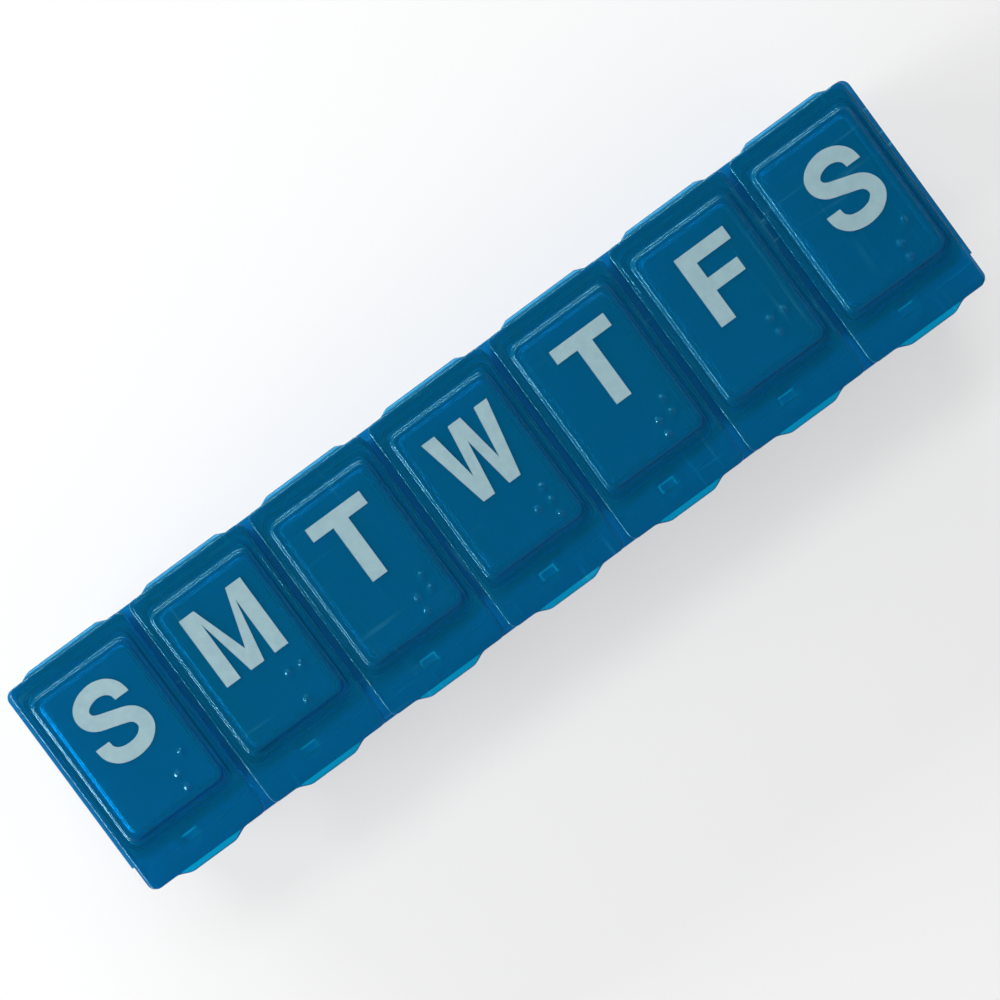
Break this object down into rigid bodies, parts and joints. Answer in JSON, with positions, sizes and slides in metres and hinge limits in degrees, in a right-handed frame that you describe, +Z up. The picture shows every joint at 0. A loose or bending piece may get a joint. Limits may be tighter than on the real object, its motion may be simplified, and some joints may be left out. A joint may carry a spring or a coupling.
{
  "type": "weekly pill organizer",
  "caption": "Weekly pill organiser: a row of scooped cups in one tray, each under its own snap lid on a living hinge.",
  "frame": {"origin": "middle of the footprint, on the surface that the tray stands on", "axes": "+X along the week from the first day to the last, -Y to the front with the thumb tabs, +Y to the hinges, +Z up"},
  "size_m": [0.1632, 0.0406, 0.0256],
  "materials": {
    "tray_plastic": "translucent teal-blue polypropylene, glossy, lightly clouded",
    "lid_plastic": "translucent teal-blue polypropylene, glossy, finely scuffed",
    "hinge_plastic": "the same polypropylene, thin and whitened where it flexes",
    "white_ink": "flat white pad-printed ink, slightly see-through"
  },
  "bodies": {
    "tray": {"tray": "tray_plastic", "hinge_web_sunday": "hinge_plastic", "hinge_web_monday": "hinge_plastic", "hinge_web_tuesday": "hinge_plastic", "hinge_web_wednesday": "hinge_plastic", "hinge_web_thursday": "hinge_plastic", "hinge_web_friday": "hinge_plastic", "hinge_web_saturday": "hinge_plastic"},
    "lid_sunday": {"lid_sunday": "lid_plastic"},
    "lid_monday": {"lid_monday": "lid_plastic"},
    "lid_tuesday": {"lid_tuesday": "lid_plastic"},
    "lid_wednesday": {"lid_wednesday": "lid_plastic"},
    "lid_thursday": {"lid_thursday": "lid_plastic"},
    "lid_friday": {"lid_friday": "lid_plastic"},
    "lid_saturday": {"lid_saturday": "lid_plastic"}
  },
  "joints": [
    {"name": "lid_sunday_hinge", "type": "hinge", "parent": "tray", "child": "lid_sunday", "pos_m": [-0.0696, 0.02045, 0.023], "axis": [-1, 0, 0], "range_deg": [0, 180], "deforming": ["hinge_web_sunday"]},
    {"name": "lid_monday_hinge", "type": "hinge", "parent": "tray", "child": "lid_monday", "pos_m": [-0.0464, 0.02045, 0.023], "axis": [-1, 0, 0], "range_deg": [0, 180], "deforming": ["hinge_web_monday"]},
    {"name": "lid_tuesday_hinge", "type": "hinge", "parent": "tray", "child": "lid_tuesday", "pos_m": [-0.0232, 0.02045, 0.023], "axis": [-1, 0, 0], "range_deg": [0, 180], "deforming": ["hinge_web_tuesday"]},
    {"name": "lid_wednesday_hinge", "type": "hinge", "parent": "tray", "child": "lid_wednesday", "pos_m": [0, 0.02045, 0.023], "axis": [-1, 0, 0], "range_deg": [0, 180], "deforming": ["hinge_web_wednesday"]},
    {"name": "lid_thursday_hinge", "type": "hinge", "parent": "tray", "child": "lid_thursday", "pos_m": [0.0232, 0.02045, 0.023], "axis": [-1, 0, 0], "range_deg": [0, 180], "deforming": ["hinge_web_thursday"]},
    {"name": "lid_friday_hinge", "type": "hinge", "parent": "tray", "child": "lid_friday", "pos_m": [0.0464, 0.02045, 0.023], "axis": [-1, 0, 0], "range_deg": [0, 180], "deforming": ["hinge_web_friday"]},
    {"name": "lid_saturday_hinge", "type": "hinge", "parent": "tray", "child": "lid_saturday", "pos_m": [0.0696, 0.02045, 0.023], "axis": [-1, 0, 0], "range_deg": [0, 180], "deforming": ["hinge_web_saturday"]}
  ]
}
